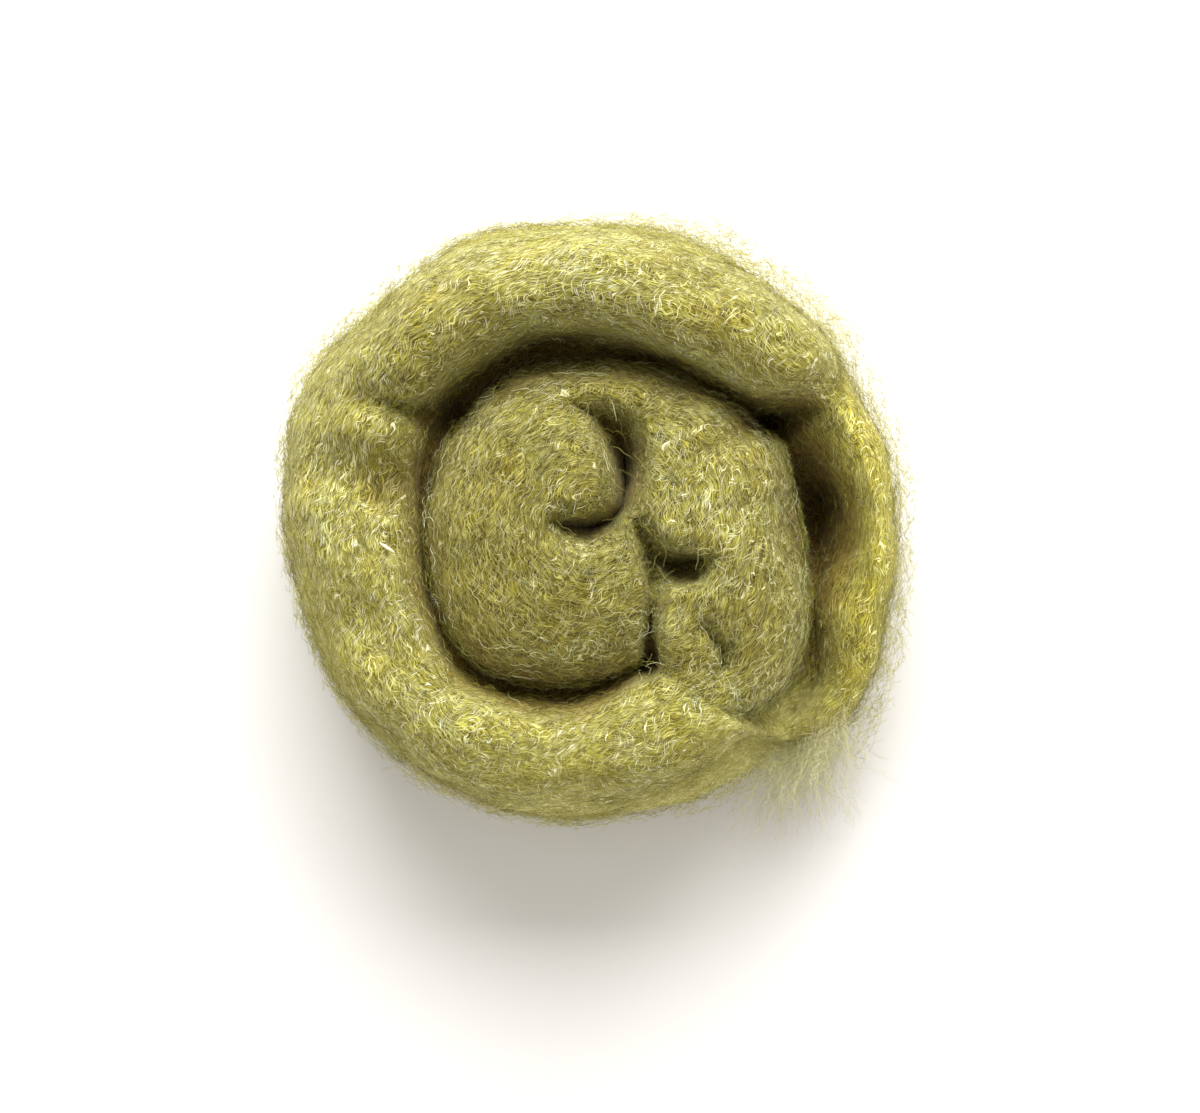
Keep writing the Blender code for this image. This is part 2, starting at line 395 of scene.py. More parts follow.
CREST_STATION = BUN_STEPS + FLOOR_STEPS + RING_INNER_STEPS - 1
BULGE_STATION = CREST_STATION + RING_OUTER_STEPS
FOOT_STATION = BULGE_STATION + RING_UNDER_STEPS
PLAIN_GRID = roll_grid()
BODY = surface(lumpy(creased(PLAIN_GRID)))
BODY_GRID = BODY[0]
STATIONS = BODY_GRID.shape[1]
# For the grid's points: the number of the station, the turn angle and the ring's height.
STATION = np.arange(STATIONS)[None]
TURN = PROFILE_TURNS[:, None]
TOP = around("top", TURN)
# The body with its seams closed over, for the strands that lie across them.
BRIDGED = surface(lumpy(PLAIN_GRID))

# Where the winding's middle stands, so that the body is centred in the CAD roll's box.
PLAIN_MIDDLE = (PLAIN_GRID.min(axis=(0, 1)) + PLAIN_GRID.max(axis=(0, 1))) / 2
CAD_MIDDLE = (np.array(ROLL_LOW) + np.array(ROLL_HIGH)) / 2
PLACE = np.array((*(CAD_MIDDLE - PLAIN_MIDDLE * MM)[:2], ROLL_LOW[2]))

# ---------------- materials


def linear(hex_colour):
    """An sRGB hex colour as linear red, green, blue and alpha."""
    channels = [int(hex_colour[i:i + 2], 16) / 255 for i in (1, 3, 5)]
    return tuple(
        c / 12.92 if c <= 0.04045 else ((c + 0.055) / 1.055) ** 2.4 for c in channels
    ) + (1.0,)


def set_inputs(holder, node, inputs):
    """Sets inputs of a node that a material or a world holds: each is a value, or the
    output that feeds it."""
    for socket, value in inputs.items():
        if isinstance(value, bpy.types.NodeSocket):
            holder.node_tree.links.new(value, node.inputs[socket])
        else:
            node.inputs[socket].default_value = value


def add_node(material, kind, inputs, stops=(), **settings):
    """Adds a node with its inputs and settings; stops are (position, hex colour) along
    a colour ramp."""
    node = material.node_tree.nodes.new(kind)
    for name, value in settings.items():
        setattr(node, name, value)
    set_inputs(material, node, inputs)
    for _ in stops[2:]:
        node.color_ramp.elements.new(0.5)
    for number, (position, colour) in enumerate(stops):
        node.color_ramp.elements[number].position = position
        node.color_ramp.elements[number].color = linear(colour)
    return node


# Settings of nodes that mix two colours, and that multiply them.
MIX = {"data_type": "RGBA"}
MULTIPLY = {"data_type": "RGBA", "blend_type": "MULTIPLY"}


def new_material(name):
    """An empty node material, its Principled shader, which is already joined to the
    output, and add_node for this material."""
    material = bpy.data.materials.new(name)
    material.use_nodes = True
    return material, material.node_tree.nodes["Principled BSDF"], partial(add_node, material)


# How long the strands are, in millimetres, how far each noise bends them as a share of its
# own size, how broken those noises are, and the step in noise that is a strand's edge.
STRAND_LENGTH = 2.3
SWEEP_BEND = 1.15
CRIMP_BEND = 0.6
BEND_DETAIL = 0.4
STRAND_EDGE = 0.075


def strand_lines(add, place, across, width, bare, sweep, crimp, shift):
    """Fine strands, from 0 between them to 1 along their middles.

    A noise changes fast with a length across the strands, in millimetres, and slowly
    with the place, which draws it out into strands a few millimetres long.  Two more
    noises bend the length: one, sweep across, swings the strands and a finer one gives
    them their crimp.  bare is the noise value up to which nothing shows.
    """
    bent = across
    for size, bend in ((sweep, SWEEP_BEND), (crimp, CRIMP_BEND)):
        noise = add("ShaderNodeTexNoise", {
            "Vector": place, "W": shift, "Scale": 1.0 / (size * MM), "Detail": BEND_DETAIL,
        }, noise_dimensions="4D")
        bent = add("ShaderNodeMath", {
            0: noise.outputs["Fac"], 1: bend * size, 2: bent,
        }, operation="MULTIPLY_ADD").outputs[0]
    length = STRAND_LENGTH * MM
    bent = add(
        "ShaderNodeMath", {0: bent, 1: length / width, 2: shift}, operation="MULTIPLY_ADD",
    ).outputs[0]
    drawn_out = add("ShaderNodeTexNoise", {
        "Vector": place, "W": bent, "Scale": 1.0 / length, "Detail": 0.0,
    }, noise_dimensions="4D")
    return add("ShaderNodeMapRange", {
        "Value": drawn_out.outputs["Fac"], "From Min": bare, "From Max": bare + STRAND_EDGE,
    }).outputs[0]


# Strands under the loose top fibres, from the deepest layer up: the way square to them,
# or None where they follow the winding; the width of one with its gap, in millimetres;
# the bare noise value; how far apart the sweeps are and how long a crimp wave is; a shift
# that sets the layers apart; and their colour, darker the deeper the layer, which is
# painted shade, up to near white on top, which is partly painted highlight.
STRAND_LAYERS = (
    ((0.2, 1.0, 0.5), 0.11, 0.43, 7.0, 1.8, 3.0, "#463a09"),
    (None, 0.1, 0.46, 6.0, 1.6, 11.0, "#6a5d18"),
    ((-0.8, 0.7, 0.8), 0.095, 0.495, 6.0, 1.9, 23.0, "#8e8730"),
    (None, 0.095, 0.535, 6.5, 1.6, 37.0, "#b9b655"),
    (None, 0.09, 0.575, 5.0, 1.7, 51.0, "#dfdf92"),
    ((-1.0, 0.6, -0.7), 0.09, 0.62, 5.0, 1.5, 64.0, "#f8fbe2"),
)

# How high the deepest strands stand in the bump, and how much higher each layer up.
DEEPEST_RAISED = 0.4
LAYER_RAISED = 0.15
BUMP_DEPTH = 0.2

# Waves to the metre: clumps of fibres are a little under 1 mm, and clouds of dye 11 mm.
CLUMPS = 1200.0
CLOUDS = 90.0
# The clouds' tints, and those of tight wool, which is painted darker: painted shade.
CLOUD_TINTS = ((0.32, "#f3ebc8"), (0.66, "#ffffff"))
TIGHT_PAINTED_SHADE_TINTS = ((0.0, "#dad6c0"), (0.5, "#ffffff"))
# A golden tint with painted light for the flap: red and green are made brighter than the
# colour, which is painted light, and blue is made less.
GOLDEN_PAINTED_LIGHT = (1.5, 1.42, 0.76, 1.0)
# Painted light, for light that comes through loose wool: the looseness from which on it
# turns pale or glows, and how much it does there and at the loosest.
PALE_PAINTED_LIGHT = (0.5, 0.0, 0.78)
GLOW_PAINTED_LIGHT = (0.7, 1.07, 1.5)


def body_material():
    """Carded wool, dyed olive: the fibres below the loose top ones.

    Matt and soft, with crimped strands lying over each other, mostly along the winding,
    and dark gaps between them.  The gaps and the deeper strands are darker, which is painted
    shade, and the top strands near white, which is partly painted highlight.  Painted shade
    also darkens the clefts and the tight bun, and painted light makes loose wool paler and
    brighter.  A wool fibre is 0.03 mm thick; to show, the strands are 0.1 mm wide with their
    gaps, as two or three fibres side by side.
    """
    material, shader, add = new_material("carded wool, dyed olive")
    place = add("ShaderNodeTexCoord", {}).outputs["Object"]
    # Read: the length along the profile; how loose the wool lies, for painted shade and light; the
    # depth in a cleft, for painted shade; and the flap's golden tint with painted light.
    profile, loose, shade_in_clefts, dyed = (
        add("ShaderNodeAttribute", {}, attribute_name=name).outputs["Fac"]
        for name in ("profile_length", "looseness_and_painted_light", "painted_cleft_shade", "golden")
    )
    clumps, clouds = (
        add("ShaderNodeTexNoise", {"Vector": place, "Scale": scale, "Detail": 2.0}).outputs["Fac"]
        for scale in (CLUMPS, CLOUDS)
    )
    # The ground between the strands is near black: painted shade in the gaps between them.
    colour = add(
        "ShaderNodeValToRGB", {"Fac": clumps}, stops=((0.36, "#181203"), (0.62, "#3d3610")),
    ).outputs["Color"]
    height = None
    for level, (way, *layer, shade) in enumerate(STRAND_LAYERS):
        across = profile if way is None else add(
            "ShaderNodeVectorMath", {0: place, 1: Vector(way).normalized() / MM},
            operation="DOT_PRODUCT",
        ).outputs["Value"]
        lines = strand_lines(add, place, across, *layer)
        colour = add(
            "ShaderNodeMix", {0: lines, 6: colour, 7: linear(shade)}, **MIX,
        ).outputs[2]
        raised = add(
            "ShaderNodeMath", {0: lines, 1: DEEPEST_RAISED + LAYER_RAISED * level},
            operation="MULTIPLY",
        ).outputs[0]
        height = raised if height is None else add(
            "ShaderNodeMath", {0: height, 1: raised}, operation="MAXIMUM",
        ).outputs[0]
    # Clouds of dye, and painted shade that darkens the tight wool of the bun.
    for value, stops in ((clouds, CLOUD_TINTS), (loose, TIGHT_PAINTED_SHADE_TINTS)):
        tint = add("ShaderNodeValToRGB", {"Fac": value}, stops=stops).outputs["Color"]
        colour = add("ShaderNodeMix", {0: 1.0, 6: colour, 7: tint}, **MULTIPLY).outputs[2]
    # A golden tint with painted light over the flap: red and green multiplied by more than 1.
    gilded_and_lit = add("ShaderNodeMix", {0: dyed, 6: colour, 7: GOLDEN_PAINTED_LIGHT}, **MULTIPLY)
    # Painted light where the wool is loose: the colour is drawn to pale yellow and scaled up past
    # itself, as if lit through.
    thin, glow = (
        add("ShaderNodeMapRange", {
            "Value": loose, "From Min": start, "From Max": 1.0, "To Min": low, "To Max": high,
        }).outputs[0]
        for start, low, high in (PALE_PAINTED_LIGHT, GLOW_PAINTED_LIGHT)
    )
    paler = add(
        "ShaderNodeValToRGB", {"Fac": loose}, stops=((0.62, "#b5ad4c"), (0.95, "#f3ec9c")),
    )
    paled = add(
        "ShaderNodeMix", {0: thin, 6: gilded_and_lit.outputs[2], 7: paler.outputs["Color"]}, **MIX,
    )
    lit_through = add(
        "ShaderNodeVectorMath", {0: paled.outputs[2], "Scale": glow}, operation="SCALE",
    )
    # Painted shade in the clefts and the groove: darker and browner the deeper a point lies.
    deep = add(
        "ShaderNodeValToRGB", {"Fac": shade_in_clefts},
        stops=((0.0, "#ffffff"), (0.4, "#ccb484"), (1.0, "#a87f44")),
    )
    mixed = add(
        "ShaderNodeMix", {0: 1.0, 6: lit_through.outputs[0], 7: deep.outputs["Color"]},
        **MULTIPLY,
    )
    bump = add("ShaderNodeBump", {"Height": height, "Strength": 1.0, "Distance": BUMP_DEPTH * MM})
    set_inputs(material, shader, {
        "Base Color": mixed.outputs[2], "Normal": bump.outputs["Normal"],
        "Roughness": 0.95, "IOR": 1.54, "Specular IOR Level": 0.1,
        "Sheen Weight": 0.4, "Sheen Roughness": 0.5, "Sheen Tint": linear("#f0eab0"),
        "Subsurface Weight": 0.3, "Subsurface Radius": (1.0, 0.9, 0.35),
        "Subsurface Scale": 2.0 * MM,
    })
    return material


def fibre_material(name, stops):
    """Single wool fibres: keratin, dyed, with a soft shine along each one.

    Each fibre has its own shade, which it keeps along its length: partly random, from the
    dye bath, and partly painted shade and light, darker the deeper it lies and paler where the
    wool is loose.  The map's U says which, and its V runs along the fibre, a little darker
    towards the ends.
    """
    material, shader, add = new_material(name)
    place = add("ShaderNodeUVMap", {}, uv_map="OFBake").outputs["UV"]
    parts = add("ShaderNodeSeparateXYZ", {"Vector": place})
    shade = add("ShaderNodeValToRGB", {"Fac": parts.outputs["X"]}, stops=stops)
    along = add(
        "ShaderNodeValToRGB", {"Fac": parts.outputs["Y"]},
        stops=((0.0, "#dcd8b8"), (0.5, "#ffffff"), (1.0, "#dcd8b8")),
    )
    mixed = add(
        "ShaderNodeMix", {0: 1.0, 6: shade.outputs["Color"], 7: along.outputs["Color"]},
        **MULTIPLY,
    )
    set_inputs(material, shader, {
        "Base Color": mixed.outputs[2], "Roughness": 0.45, "IOR": 1.54,
        "Specular IOR Level": 0.5,
    })
    return material


# Shades of single fibres, from deep ones, dark and golden, to top ones, pale: the dark end
# is painted shade, and the near white end is partly painted highlight.
FIBRE_SHADES = (
    (0.0, "#332a0a"), (0.3, "#6b621b"), (0.52, "#97913a"), (0.7, "#bab966"),
    (0.85, "#e1e4b8"), (1.0, "#fafcee"),
)
# Those of the outer turn are more golden.
RING_SHADES = (
    (0.0, "#3e350a"), (0.26, "#766d20"), (0.56, "#a19b3a"), (0.8, "#c1bd58"),
    (0.93, "#dcda8c"), (1.0, "#efefbe"),
)
# The ragged end of the sheet is paler still: painted light, for light that comes through it.
TAIL_PAINTED_LIGHT_SHADES = ((0.0, "#ddd67c"), (0.5, "#eeeaac"), (1.0, "#fbfae0"))
# The light comes through the fuzz at the edges.
FUZZ_SHADES = ((0.0, "#b7ae46"), (0.4, "#cdc664"), (0.75, "#dfda8c"), (1.0, "#f0efc2"))


# Waves to the metre of the straw's grain, which is 0.25 mm wide.
GRAIN = 4000.0


def straw_material():
    """Dried straw: a waxy stem split by the carder, pale cream, with fine grain along it."""
    material, shader, add = new_material("dried straw, split")
    place = add("ShaderNodeTexCoord", {}).outputs["Object"]
    grain = add("ShaderNodeTexNoise", {"Vector": place, "Scale": GRAIN, "Detail": 2.0})
    ramp = add(
        "ShaderNodeValToRGB", {"Fac": grain.outputs["Fac"]},
        stops=((0.3, "#d8d1a4"), (0.7, "#efecd2")),
    )
    set_inputs(material, shader, {"Base Color": ramp.outputs["Color"], "Roughness": 0.45})
    return material


# ---------------- making meshes


def mesh_piece(name, points, faces, material):
    """A smooth mesh object from arrays of points, in metres, and triangles."""
    mesh = bpy.data.meshes.new(name)
    mesh.vertices.add(len(points))
    mesh.vertices.foreach_set("co", points.astype(np.float32).ravel())
    mesh.loops.add(faces.size)
    mesh.loops.foreach_set("vertex_index", faces.astype(np.int32).ravel())
    mesh.polygons.add(len(faces))
    mesh.polygons.foreach_set("loop_start", np.arange(0, faces.size, 3, dtype=np.int32))
    mesh.update(calc_edges=True)
    mesh.validate()
    mesh.shade_smooth()
    mesh.materials.append(material)
    piece = bpy.data.objects.new(name, mesh)
    bpy.context.scene.collection.objects.link(piece)
    return piece


def tube_faces(rings, corners):
    """Triangles of a closed tube whose points are its rings, then one point at its start
    and one at its end: two to each side between rings, and a fan over each end."""
    ring = np.arange(rings - 1)[:, None] * corners
    k = np.arange(corners)
    after = (k + 1) % corners
    one = np.stack((ring + corners + after, ring + after, ring + k), axis=-1)
    two = np.stack((ring + corners + k, ring + corners + after, ring + k), axis=-1)
    last, start = (rings - 1) * corners, rings * corners
    first_fan = np.stack((k, after, np.full(corners, start)), axis=-1)
    last_fan = np.stack((np.full(corners, start + 1), last + after, last + k), axis=-1)
    return np.concatenate((one.reshape(-1, 3), two.reshape(-1, 3), first_fan, last_fan))


def wool_body(material):
    """The closed body: the grid's points, with one point at each middle.

    Its material reads "profile_length", in millimetres along the profile; how loosely the
    wool lies, which sets painted shade and painted light; how deep in a cleft, which sets
    painted shade there; and how much golden tint and painted light the flap gets.
    """
    middle_drop = crease_drop(np.zeros(1), np.zeros(1))[0]
    middles = ((0.0, 0.0, MIDDLE_HEIGHT - middle_drop), (0.0, 0.0, 0.0))
    points = np.vstack((BODY_GRID.reshape(-1, 3), middles))
    # The stations are the rings of a tube that starts and ends at the two middles.
    order = np.arange(PROFILES * STATIONS).reshape(PROFILES, STATIONS).T.ravel()
    order = np.append(order, (order.size, order.size + 1))
    faces = order[tube_faces(STATIONS, PROFILES)][:, ::-1]
    piece = mesh_piece("wool_body", to_place(points), faces, material)

    lengths = profile_lengths()
    # The second attribute sets painted shade and light, the third painted shade in the clefts, and
    # the fourth a golden tint with painted light.
    for name, values, at_middles in (
        ("profile_length", lengths, (0.0, lengths.max())), ("looseness_and_painted_light", LOOSENESS_AND_PAINTED_LIGHT, (0.0, 0.5)),
        ("painted_cleft_shade", painted_cleft_shade(), (0.0, 1.0)), ("golden", golden(), (0.0, 0.0)),
    ):
        layer = piece.data.attributes.new(name, "FLOAT", "POINT")
        layer.data.foreach_set("value", np.append(values.ravel(), at_middles).astype(np.float32))
    return piece


# What the ring's crest counts as in the length along a profile, in millimetres.
CREST_LENGTH = 70.0


def profile_lengths():
    """Length along each profile before it was creased: from the middle of the top on the
    bun, and from the ring's crest past the groove, so that it changes slowly round the
    roll."""
    steps = np.linalg.norm(np.diff(PLAIN_GRID, axis=1), axis=-1)
    along = np.concatenate((np.zeros((PROFILES, 1)), np.cumsum(steps, axis=1)), axis=1)
    from_crest = along - along[:, CREST_STATION][:, None] + CREST_LENGTH
    return np.where(STATION < BUN_STEPS + 1, along, from_crest)


# The second lobe, where the bun is looser and so less darkened by the painted shade of
# tight wool: its middle, reach and looseness, and between which shares of its reach that
# fades in.  The bun's last stations are as loose as the ring.
LOBE_MIDDLE = (21.0, 4.0)
LOBE_REACH = 13.0
LOBE_LOOSENESS = 0.32
LOBE_SHARES = (1.6, 0.6)
BUN_EDGE_STATIONS = 8
RING_LOOSENESS = 0.5

# Bands of turn angles, and of shares of the ring's height: where each comes in, is full,
# starts to leave, and has gone.
SKIRT_TURNS = (136.0, 144.0, 200.0, 225.0)
THIN_END_TURNS = (120.0, 132.0, 142.0, 150.0)
GOLDEN_TURNS = (54.0, 74.0, 124.0, 138.0)
BULGE_HEIGHTS = (0.1, 0.45, 0.55, 0.95)
# Heights that looseness comes in over: as shares, down the ring's side; in millimetres,
# up the skirt, down the thin end, and of the crest, which is low over the flap.
SIDE_HEIGHTS = (0.8, 0.4)
SKIRT_HEIGHTS = (5.0, 11.0)
THIN_END_HEIGHTS = (38.0, 28.0)
FLAP_CRESTS = (50.0, 40.0)
# How much looser each of these is, which is painted light that makes it paler and
# brighter; and what is left of it where the side faces down, which fades in between two
# heights of its normal.
SIDE_PAINTED_LIGHT = 0.3
SKIRT_PAINTED_LIGHT = 0.5
BULGE_PAINTED_LIGHT = 0.45
FLAP_PAINTED_LIGHT = 0.15
THIN_END_PAINTED_LIGHT = 0.6
FACING_DOWN_SHARE = 0.3
FACING_DOWN_NORMALS = (-0.5, 0.3)

# Patches of the ring's top that are made looser, which is painted light, or tighter,
# which is painted shade: (x, y, reach in millimetres, how much looser).  They end at a
# share of its height.
PAINTED_LIGHT_AND_SHADE_PATCHES = (
    (-31.0, 37.0, 15.0, -0.4), (27.0, 39.0, 14.0, -0.3), (-45.0, 9.0, 10.0, -0.3),
    (-45.0, -14.0, 13.0, 0.12), (-8.0, -48.0, 18.0, 0.17), (23.0, -39.0, 9.0, 0.2),
)
PATCH_FOOT_SHARE = 0.5

# How much the flap gets of the golden tint with painted light.
GOLDEN_SHARE = 0.7

# Painted shade in the clefts and the groove: a cleft's depth counts from a little under the
# top beside it, at most from this height and on the bun from a little more than the ring's;
# and the depth where the painted shade is darkest.
OPEN_HEIGHT = 52.0
OPEN_DROP = 2.5
OPEN_ABOVE_BUN = 5.0
CLEFT_SHADE_DEPTH = 15.0
# The groove's open end on the right: where it starts, is fully open, and ends.
OPEN_END_TURNS = (116.0, 130.0, 142.0)


def band(value, edges):
    """0 outside a band, 1 in its middle, and an even rise and fall at its edges."""
    come, full, leave, gone = edges
    return between(value, come, full) * between(value, gone, leave)


def looseness_and_painted_light():
    """How loosely the wool lies at each grid point, which sets painted shade and light: 0 in
    the tight bun, which is painted darker, a third in the second lobe, a half over the ring,
    and up to 1 where it is painted paler and brighter, as if light came through it."""
    x, y, height = np.moveaxis(BODY_GRID, -1, 0)
    outside = STATION > CREST_STATION

    # The bun is 0, painted darkest, and the lobe and the bun's last stations less so.
    lobe_away = np.hypot(x - LOBE_MIDDLE[0], y - LOBE_MIDDLE[1]) / LOBE_REACH
    edge = between(STATION, BUN_STEPS - BUN_EDGE_STATIONS, BUN_STEPS)
    bun = np.maximum(RING_LOOSENESS * edge, LOBE_LOOSENESS * between(lobe_away, *LOBE_SHARES))

    # Painted light down the ring's side, over the skirt and round the bulge, less where the side
    # faces down.
    side = between(height / TOP, *SIDE_HEIGHTS) * outside
    skirt = band(TURN, SKIRT_TURNS) * between(height, *SKIRT_HEIGHTS)
    side = side * (SIDE_PAINTED_LIGHT + SKIRT_PAINTED_LIGHT * skirt)
    side = np.maximum(side, BULGE_PAINTED_LIGHT * band(height / TOP, BULGE_HEIGHTS) * outside)
    facing = between(BODY[1][..., 2], *FACING_DOWN_NORMALS)
    side = side * np.maximum(facing, FACING_DOWN_SHARE)
    # Painted light over the flap and the sheet's thin end.
    flap = between(TOP, *FLAP_CRESTS) * between(STATION, BUN_STEPS + FLOOR_STEPS, CREST_STATION + 1)
    thin_end = band(TURN, THIN_END_TURNS) * between(height, *THIN_END_HEIGHTS)
    painted_lighter = np.maximum(np.maximum(side, FLAP_PAINTED_LIGHT * flap), THIN_END_PAINTED_LIGHT * thin_end)
    ring = RING_LOOSENESS + (1.0 - RING_LOOSENESS) * painted_lighter
    # Patches of painted light and painted shade on the ring's top.
    for patch_x, patch_y, reach, patch_lighter in PAINTED_LIGHT_AND_SHADE_PATCHES:
        away = np.hypot(x - patch_x, y - patch_y) / reach
        ring = ring + patch_lighter * np.exp(-away ** 2) * (height > PATCH_FOOT_SHARE * TOP)
    return np.where(STATION < BUN_STEPS, bun, np.clip(ring, 0.0, 1.0))


def golden():
    """How much golden tint and painted light each grid point gets: most over the low flap on
    the right, with soft edges."""
    outside = between(STATION, BUN_STEPS, BUN_STEPS + RING_INNER_STEPS)
    return GOLDEN_SHARE * band(TURN, GOLDEN_TURNS) * outside


def painted_cleft_shade():
    """Painted shade: how deep each grid point lies in a cleft or the groove, which darkens its
    colour there: 0 in the open, 1 from the full depth on."""
    beside = np.where(STATION < BUN_STEPS, TOP + OPEN_ABOVE_BUN, TOP)
    level = np.minimum(OPEN_HEIGHT, beside) - OPEN_DROP
    depth = between(level - BODY_GRID[..., 2], 0.0, CLEFT_SHADE_DEPTH)
    come, full, gone = OPEN_END_TURNS
    open_end = between(TURN, come, full) * (TURN < gone)
    return np.where(STATION < CREST_STATION, depth * (1.0 - open_end), 0.0)


def sample(field, u, v):
    """A grid's values at profile u and station v, worked out between the four round it."""
    u = np.mod(u, PROFILES)
    v = np.clip(v, 0.0, STATIONS - 1.001)
    u0 = np.floor(u).astype(int)
    v0 = np.floor(v).astype(int)
    u1 = (u0 + 1) % PROFILES
    fu = (u - u0)[..., None]
    fv = (v - v0)[..., None]
    low = field[u0 % PROFILES, v0] * (1 - fu) + field[u1, v0] * fu
    high = field[u0 % PROFILES, v0 + 1] * (1 - fu) + field[u1, v0 + 1] * fu
    return low * (1 - fv) + high * fv


def seeds(rng, count, first, last):
    """Random grid places between two stations, spread evenly by area."""
    _, _, along_turn, along_profile = BODY
    area = np.linalg.norm(np.cross(along_turn, along_profile), axis=-1)[:, first:last]
    chance = (area / area.sum()).ravel()
    picked = rng.choice(chance.size, size=count, p=chance)
    u, v = np.divmod(picked, last - first)
    return u + rng.uniform(-0.5, 0.5, count), v + first + rng.uniform(-0.5, 0.5, count)


# A wool fibre is 0.03 mm thick, too fine to show, so these are two and a half times that;
# then the mean length of the crimp waves, both in millimetres.
FIBRE_WIDTH = 0.075
CRIMP_WAVE = 2.2
# Ranges that fibres vary over: shares of the usual width, swing and wave of the crimp,
# and how far they bob up and down over each other, in millimetres.
WIDTH_RANGE = (0.7, 1.3)
SWING_RANGE = (0.4, 1.35)
WAVE_RANGE = (0.7, 1.5)
BOB_RANGE = (0.05, 0.4)
# Powers that keep most fibres low and their ends down till late, and how the bob's phase
# and pace stand to the crimp's.
REACH_POWER = 1.5
STAND_POWER = 1.3
BOB_PHASE = 1.7
BOB_PACE = 0.8
# How fast a heading drifts, in radians a step: in most fibres, and in those that curl up.
DRIFT = 0.07
CURL_RANGE = (0.35, 0.75)
# The most profiles and stations that a step may cross, and how near the middle it comes.
MOST_PROFILES = 12.0
MOST_STATIONS = 8.0
NEAREST_STATION = 0.3
# Painted shade and light in the fibres: how much of a shade comes from how high a fibre
# lies, the shade that loose wool is drawn to, and how much paler the loosest is.
HEIGHT_PAINTED_SHADE = 0.25
LOOSE_PAINTED_LIGHT = 0.62
LOOSE_PAINTED_PALER = 0.6
# In millimetres, the depth from which on a cleft is kept free of fibres, and the height
# above the table that they all keep.
CLEFT_DEPTH = 9.5
LOWEST = 0.25


def lay_fibres(
    rng, on, u, v, points, step_length, spread, crimp, lift, rise, curled, full=1.0,
):
    """Paths of fibres that lie on a surface: (fibre, point, xyz), the normals there and
    the fibres' shades.

    Each fibre sets off along the winding, turned by a random angle, and is followed in
    short steps over the grid.  Its heading swings to and fro, which makes the crimp, and
    drifts; the curled share drifts so fast that it loops.  It lies between the two heights
    of lift, and its far end stands up by about as much as rise says, both times how full
    the fuzz is.  Its shade is random, paler the higher it lies, which is painted shade, and
    nearer the middle shades where the wool is loose, paler the looser, which is painted
    light.  Fibres that would close a cleft are left out.
    """
    grid, all_normals, along_turn, along_profile = on
    count = len(u)
    heading = rng.normal(0.0, spread, count) + np.pi * rng.integers(0, 2, count)
    drift = rng.normal(0.0, DRIFT, count)
    curl = rng.choice((-1.0, 1.0), count) * rng.uniform(*CURL_RANGE, count)
    drift = np.where(rng.random(count) < curled, curl, drift)
    swing = crimp * rng.uniform(*SWING_RANGE, count)
    pace = 2 * np.pi * step_length / (CRIMP_WAVE * rng.uniform(*WAVE_RANGE, count))
    phase = rng.uniform(0.0, 2 * np.pi, count)
    reach = rng.random(count) ** REACH_POWER
    height = lift[0] + (lift[1] - lift[0]) * reach * full
    bob = rng.uniform(*BOB_RANGE, count)
    stand = np.abs(rng.normal(0.0, 1.0, count)) * rise * full
    # Painted light: on loose wool the fibres are drawn to paler shades.
    loose = np.maximum(sample(LOOSENESS_AND_PAINTED_LIGHT, u, v)[:, 0] - RING_LOOSENESS, 0.0)
    path, up = [], []
    for step in range(points):
        normal = unit(sample(all_normals, u, v))
        raised = height + bob * np.cos(phase * BOB_PHASE + step * pace * BOB_PACE)
        raised = raised + stand * (step / (points - 1)) ** STAND_POWER
        path.append(sample(grid, u, v) + normal * raised[:, None])
        up.append(normal)
        turn_way = sample(along_turn, u, v)
        profile_way = sample(along_profile, u, v)
        first = unit(turn_way)
        second = np.cross(normal, first)
        angle = heading + swing * np.sin(phase + step * pace) + drift * step
        way = first * np.cos(angle)[:, None] + second * np.sin(angle)[:, None]
        # How many profiles and stations the step crosses.
        a = (turn_way * turn_way).sum(-1)
        b = (turn_way * profile_way).sum(-1)
        c = (profile_way * profile_way).sum(-1)
        p = (turn_way * way).sum(-1) * step_length
        q = (profile_way * way).sum(-1) * step_length
        whole = np.maximum(a * c - b * b, 1e-6)
        u = u + np.clip((c * p - b * q) / whole, -MOST_PROFILES, MOST_PROFILES)
        v = v + np.clip((a * q - b * p) / whole, -MOST_STATIONS, MOST_STATIONS)
        v = np.clip(v, NEAREST_STATION, FOOT_STATION)
    path, up = np.stack(path, axis=1), np.stack(up, axis=1)
    # Painted shade and light: paler the higher a fibre lies, and paler where the wool is loose.
    shade = (1.0 - HEIGHT_PAINTED_SHADE) * rng.random(count) + HEIGHT_PAINTED_SHADE * reach
    shade = shade + (LOOSE_PAINTED_LIGHT + LOOSE_PAINTED_PALER * loose - shade) * loose
    if on is BODY:
        open_to_view = crease_drop(path[..., 0], path[..., 1]).max(axis=1) < CLEFT_DEPTH
        path, up, shade = path[open_to_view], up[open_to_view], shade[open_to_view]
    return path, up, shade


# The tail of the sheet: its turns and stations, its fibres, how deep in the wool they
# start, and their ways as (mean, spread) of x, y and z.
TAIL_TURNS = (124.0, 140.0)
TAIL_STATIONS = (CREST_STATION, BULGE_STATION + 10)
TAIL_FIBRES = 560
TAIL_DEPTH = 1.5
TAIL_WAYS = ((-0.3, 0.18), (-1.0, 0.15), (0.0, 0.12))
